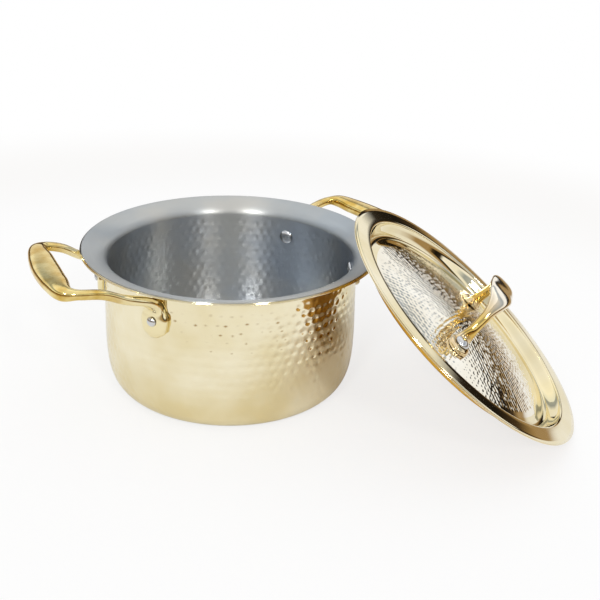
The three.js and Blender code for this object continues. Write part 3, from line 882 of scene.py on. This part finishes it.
# The same sheet on the flared rim, brushed smooth: an even, satin grey without stripes
rim_steel = metal(
    "brushed steel rim",
    "#B2B8BC",
    "#C6C5C0",
    patch_mm=70,
    roughness=0.4,
    wear=0.04,
    grain_mm=1.5,
    grain_depth_mm=0.004,
    spun=0.8,
)
# Steel of the rivets, bright from the tool that closed them: a small white glint with a dark edge
rivet_steel = metal(
    "bright rivet steel",
    "#C9CACC",
    "#DEDFE0",
    patch_mm=6,
    roughness=0.2,
    wear=0.04,
    grain_mm=0.8,
    grain_depth_mm=0.003,
)

hammer = hammer_tree()
rivets = rivet_tree()


# Pot

wall = pot_profile()
outside = spaced(wall[:2], SHELL_STEPS[0])[:-1] + spaced(wall[1:], SHELL_STEPS[1])
inner_face = offset(wall, SHELL_SHEET)[::BACK_KEEPS_EVERY]
shell_profile = outside + lip(outside[-1], inner_face[-1]) + inner_face[::-1]
shell_marks = len(outside)


def shell_hammering(index, point):
    """The shell is hammered from the bottom corner to just under the flare, on its outside."""
    if index >= shell_marks:
        return 0.0
    rise = progress(point.y, SHELL_MARKS_FROM, SHELL_MARKS_FROM + SHELL_FADE_IN)
    top = RIM_HEIGHT - FLARE_HEIGHT - 1
    return rise * progress(point.y, top, top - WALL_FADE_OUT)


shell = turned("hammered_shell", shell_profile, SHEET_COLUMNS, shell_hammering)
baked(
    shell,
    hammer,
    {
        "Marks": 1240,
        "Turn": SHELL_ROW_TURN,
        "Coil": 0.0,
        "First Ring": ring_at(BELLY_RADIUS, 1),
        "Last Ring": ring_at(BELLY_RADIUS, 106),
        "Wander": 1.0 * MM,
        "Mark Radius": 3.4 * MM,
        "Mark Depth": 0.58 * MM,
        "Seed": 4,
        "Finish": sheet_brass,
    },
)

lining_outer = shortened(offset(wall, SHELL_SHEET + FIT_GAP), LINING_SETBACK)
lining_inner = shortened(offset(wall, WALL_BUILD), LINING_SETBACK)
lining_face = spaced(lining_inner[:2], LINING_STEPS[0])[:-1] + spaced(lining_inner[1:], LINING_STEPS[1])
lining_back = lining_outer[::BACK_KEEPS_EVERY]
lining_marks = len(lining_back) + LIP_STEPS - 1
lining_profile = lining_back + lip(lining_outer[-1], lining_inner[-1]) + lining_face[::-1]


def lining_hammering(index, point):
    """The lining is hammered inside the pot, and smooth on the flare."""
    if index < lining_marks:
        return 0.0
    top = RIM_HEIGHT - FLARE_HEIGHT
    return progress(point.y, top, top - WALL_FADE_OUT)


lining_ring = BELLY_RADIUS - WALL_BUILD - 3
lining = turned("hammered_lining", lining_profile, LINING_COLUMNS, lining_hammering)
baked(
    lining,
    hammer,
    {
        "Marks": 1130,
        "Turn": LINING_ROW_TURN,
        "Coil": 0.0,
        "First Ring": ring_at(lining_ring, 3),
        "Last Ring": ring_at(lining_ring, 106),
        "Wander": 1.0 * MM,
        "Mark Radius": 3.6 * MM,
        "Mark Depth": 0.34 * MM,
        "Seed": 9,
        "Finish": lining_steel,
    },
)
lining.data.materials.append(rim_steel)
for face in lining.data.polygons:
    if face.center.z > (RIM_HEIGHT - FLARE_HEIGHT) * MM:
        face.material_index = 1

handles = {word: side_handle(word) for word in SIDE_HANDLES}
side_places = []
for handle_facing, *_ in SIDE_HANDLES.values():
    for end in (-1, 1):
        angle = math.radians(handle_facing + end * SIDE_RIVET_ANGLE)
        direction = Vector((math.cos(angle), math.sin(angle), 0))
        foot = direction * wall_radius(SIDE_RIVET_HEIGHT) + Vector((0, 0, SIDE_RIVET_HEIGHT))
        side_places.append((foot, direction))
side_rivets = rivet_points("side_rivets", side_places)
baked(
    side_rivets,
    rivets,
    {
        "Head Radius": 3.8 * MM,
        "Head Height": 2.2 * MM,
        "Head Seat": (SIDE_LUG[2] + 2 * FIT_GAP) * MM,
        "Inner Radius": 6.3 * MM,
        "Inner Height": 2.2 * MM,
        "Inner Seat": -(WALL_BUILD + 2 * FIT_GAP) * MM,
        "Finish": rivet_steel,
    },
)

# Lid

lid_top = lid_profile()
lid_under = offset(lid_top, -LID_SHEET)
dome_face = spaced(lid_top[: LID_DOME_STEPS + 1], LID_STEPS[0])
top_face = dome_face[:-1] + spaced(lid_top[LID_DOME_STEPS:], LID_STEPS[1])
under_face = spaced(lid_under, LID_STEPS[1])
lid_marks = len(under_face) + LIP_STEPS - 1
lid_section = under_face + lip(under_face[-1], top_face[-1]) + top_face[::-1]


def lid_hammering(index, point):
    """The lid is hammered on its dome, inside the groove."""
    if index < lid_marks:
        return 0.0
    edge = LID_DOME_RADIUS - 1
    return progress(point.x, edge, edge - DOME_FADE_OUT)


lid = turned("hammered_lid", lid_section, SHEET_COLUMNS, lid_hammering)
baked(
    lid,
    hammer,
    {
        "Marks": 1700,
        "Turn": 0.0,
        "Coil": 2 * math.pi / (LID_RING_PITCH * MM),
        "First Ring": ring_at(1, 0),
        "Last Ring": ring_at(LID_DOME_RADIUS - 1, 0),
        "Wander": 0.6 * MM,
        "Mark Radius": 2.3 * MM,
        "Mark Depth": 0.36 * MM,
        "Seed": 2,
        "Finish": lid_brass,
    },
)
# Slot 1: the underside's brass, painted a deeper gold as painted shade
lid.data.materials.append(underside_brass_with_painted_shade)
# Slot 2: the dome's brass, painted almost silver as a painted highlight
lid.data.materials.append(dome_brass_with_painted_highlight)
for face in lid.data.polygons:
    if face.normal.z < 0:
        face.material_index = 1
    elif face.center.xy.length < LID_DOME_RADIUS * MM:
        face.material_index = 2
lid.data.transform(lid_matrix())

loop = lid_handle()
lid_places = []
loop_place = lid_handle_matrix()
for end in (-1, 1):
    reach = LID_RIVET_REACH + end * LID_HANDLE_SHIFT
    foot = Vector((0, -end * reach, dome_height(reach))) * MM
    normal = dome_normal(reach)
    facing = loop_place.to_3x3() @ Vector((0, -end * normal.y, normal.z))
    lid_places.append(((loop_place @ foot) / MM, facing))
lid_rivets = rivet_points("lid_rivets", lid_places)
baked(
    lid_rivets,
    rivets,
    {
        "Head Radius": 5.8 * MM,
        "Head Height": 3.3 * MM,
        "Head Seat": (LID_FOOT[2] + 2 * FIT_GAP) * MM,
        "Inner Radius": 4.5 * MM,
        "Inner Height": 1.6 * MM,
        "Inner Seat": -(LID_SHEET + 2 * FIT_GAP) * MM,
        "Finish": rivet_steel,
    },
)

for handle in handles.values():
    handle.data.materials.append(cast_brass)
loop.data.materials.append(cast_brass_with_painted_highlight)

# What rides on what

dressed = [
    (shell, "pot", "hammered_brass", ["pot_shell"]),
    (lining, "pot", "grey_lining", ["pot_lining"]),
    (handles["left"], "pot", "cast_brass", ["side_handle_left"]),
    (handles["right"], "pot", "cast_brass", ["side_handle_right"]),
    (side_rivets, "pot", "rivet_metal", [f"side_rivet_{w}_{n}" for w in SIDE_HANDLES for n in (1, 2)]),
    (lid, "lid", "lid_brass", ["lid_shell"]),
    (loop, "lid", "cast_brass", ["lid_handle"]),
    (lid_rivets, "lid", "rivet_metal", ["lid_rivet_1", "lid_rivet_2"]),
]
for piece, body, slot, nodes in dressed:
    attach(piece, body)
    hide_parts(*nodes)

# Studio: pale floor, soft light, and the photograph's view

bpy.ops.mesh.primitive_circle_add(
    vertices=96, radius=FLOOR_RADIUS, fill_type="NGON", location=(0, 0, -FLOOR_DROP)
)
floor = bpy.context.object
floor.name = "studio_floor"
# Matt white paper: even and without gloss, lifted for the camera so that the shadow on it stays faint. Past
# the paper the floor is brown, which only the metal mirrors
paper = bpy.data.materials.new("matt white studio paper")
paper.use_nodes = True
paper_tree = paper.node_tree
paper_surface = next(node for node in paper_tree.nodes if node.type == "BSDF_PRINCIPLED")
paper_surface.inputs["Roughness"].default_value = 0.9
paper_surface.inputs["Specular IOR Level"].default_value = 0.1
spot = add_node(paper_tree, "ShaderNodeTexCoord").outputs["Object"]
away = add_node(paper_tree, "ShaderNodeVectorMath", {"operation": "LENGTH"}, {0: spot}).outputs["Value"]
limits = {"From Min": PAPER_REACH[0], "From Max": PAPER_REACH[1]}
far = mapped(paper_tree, away, limits, "SMOOTHSTEP")
ground = mixed(paper_tree, far, linear(PAPER_COLOUR), linear(FAR_FLOOR_COLOUR))
paper_tree.links.new(ground, paper_surface.inputs["Base Color"])
seen = add_node(paper_tree, "ShaderNodeLightPath").outputs["Is Camera Ray"]
lifted = maths(paper_tree, "MULTIPLY", seen, mapped(paper_tree, far, {"To Min": PAPER_LIFT}))
glow = add_node(paper_tree, "ShaderNodeEmission", {}, {"Color": linear(WHITE)}).outputs[0]
paper_mix = add_node(
    paper_tree, "ShaderNodeMixShader", {}, {0: lifted, 1: paper_surface.outputs[0], 2: glow}
)
paper_out = next(node for node in paper_tree.nodes if node.type == "OUTPUT_MATERIAL")
paper_tree.links.new(paper_mix.outputs[0], paper_out.inputs["Surface"])
floor.data.materials.append(paper)

# The room: an even white light on the object and white behind it, with a dim band above the horizon that
# only the metal mirrors
world = bpy.data.worlds.new("studio")
world.use_nodes = True
bpy.context.scene.world = world
room = world.node_tree
backdrop = next(node for node in room.nodes if node.type == "BACKGROUND")
way = add_node(room, "ShaderNodeTexCoord").outputs["Generated"]
rise = add_node(room, "ShaderNodeSeparateXYZ", {}, {0: way}).outputs[2]
band = add_node(room, "ShaderNodeValToRGB", {}, {"Fac": rise})
shades = band.color_ramp
shades.elements[0].position = 0.0
shades.elements[0].color = linear(FAR_FLOOR_COLOUR)
shades.elements[1].position = 1.0
shades.elements[1].color = linear(ROOM_TOP_COLOUR)
for position, shade in ROOM_SHADES:
    shades.elements.new(position).color = linear(shade)
paths = add_node(room, "ShaderNodeLightPath").outputs
seen_ray = maths(room, "MAXIMUM", paths["Is Camera Ray"], paths["Is Glossy Ray"])
tone = mixed(room, paths["Is Glossy Ray"], linear(WHITE), band.outputs[0])
room.links.new(tone, backdrop.inputs["Color"])
room.links.new(mapped(room, seen_ray, {"To Min": ROOM_LIGHT}), backdrop.inputs["Strength"])


def broad_lamp(name, toward, power, spread):
    """A far, wide lamp that shines toward a direction, evenly over the whole floor."""
    lamp = bpy.data.lights.new(name, "SUN")
    lamp.energy = power
    lamp.angle = math.radians(spread)
    lamp.color = linear(WHITE)[:3]
    stand = bpy.data.objects.new(name, lamp)
    bpy.context.scene.collection.objects.link(stand)
    stand.rotation_euler = Vector(toward).to_track_quat("-Z", "Y").to_euler()


for lamp_values in LAMPS:
    broad_lamp(*lamp_values)

camera = bpy.data.cameras.new("photograph")
camera.sensor_width = CAMERA_SENSOR
camera.lens = CAMERA_LENS
camera.clip_end = CAMERA_CLIP_END
view = bpy.data.objects.new("photograph", camera)
bpy.context.scene.collection.objects.link(view)
level = Vector((*CAMERA_AHEAD, 0)).normalized()
right = Vector((level.y, -level.x, 0))
look = level * math.cos(CAMERA_PITCH) - Vector((0, 0, math.sin(CAMERA_PITCH)))
up = right.cross(look)
tilted_right = right * math.cos(CAMERA_ROLL) + up * math.sin(CAMERA_ROLL)
tilted_up = up * math.cos(CAMERA_ROLL) - right * math.sin(CAMERA_ROLL)
axes = Matrix((tilted_right, tilted_up, -look)).transposed().to_4x4()
view.matrix_world = Matrix.Translation(Vector(CAMERA_PLACE) * MM) @ axes
bpy.context.scene.camera = view
bpy.context.scene.view_settings.view_transform = "Standard"
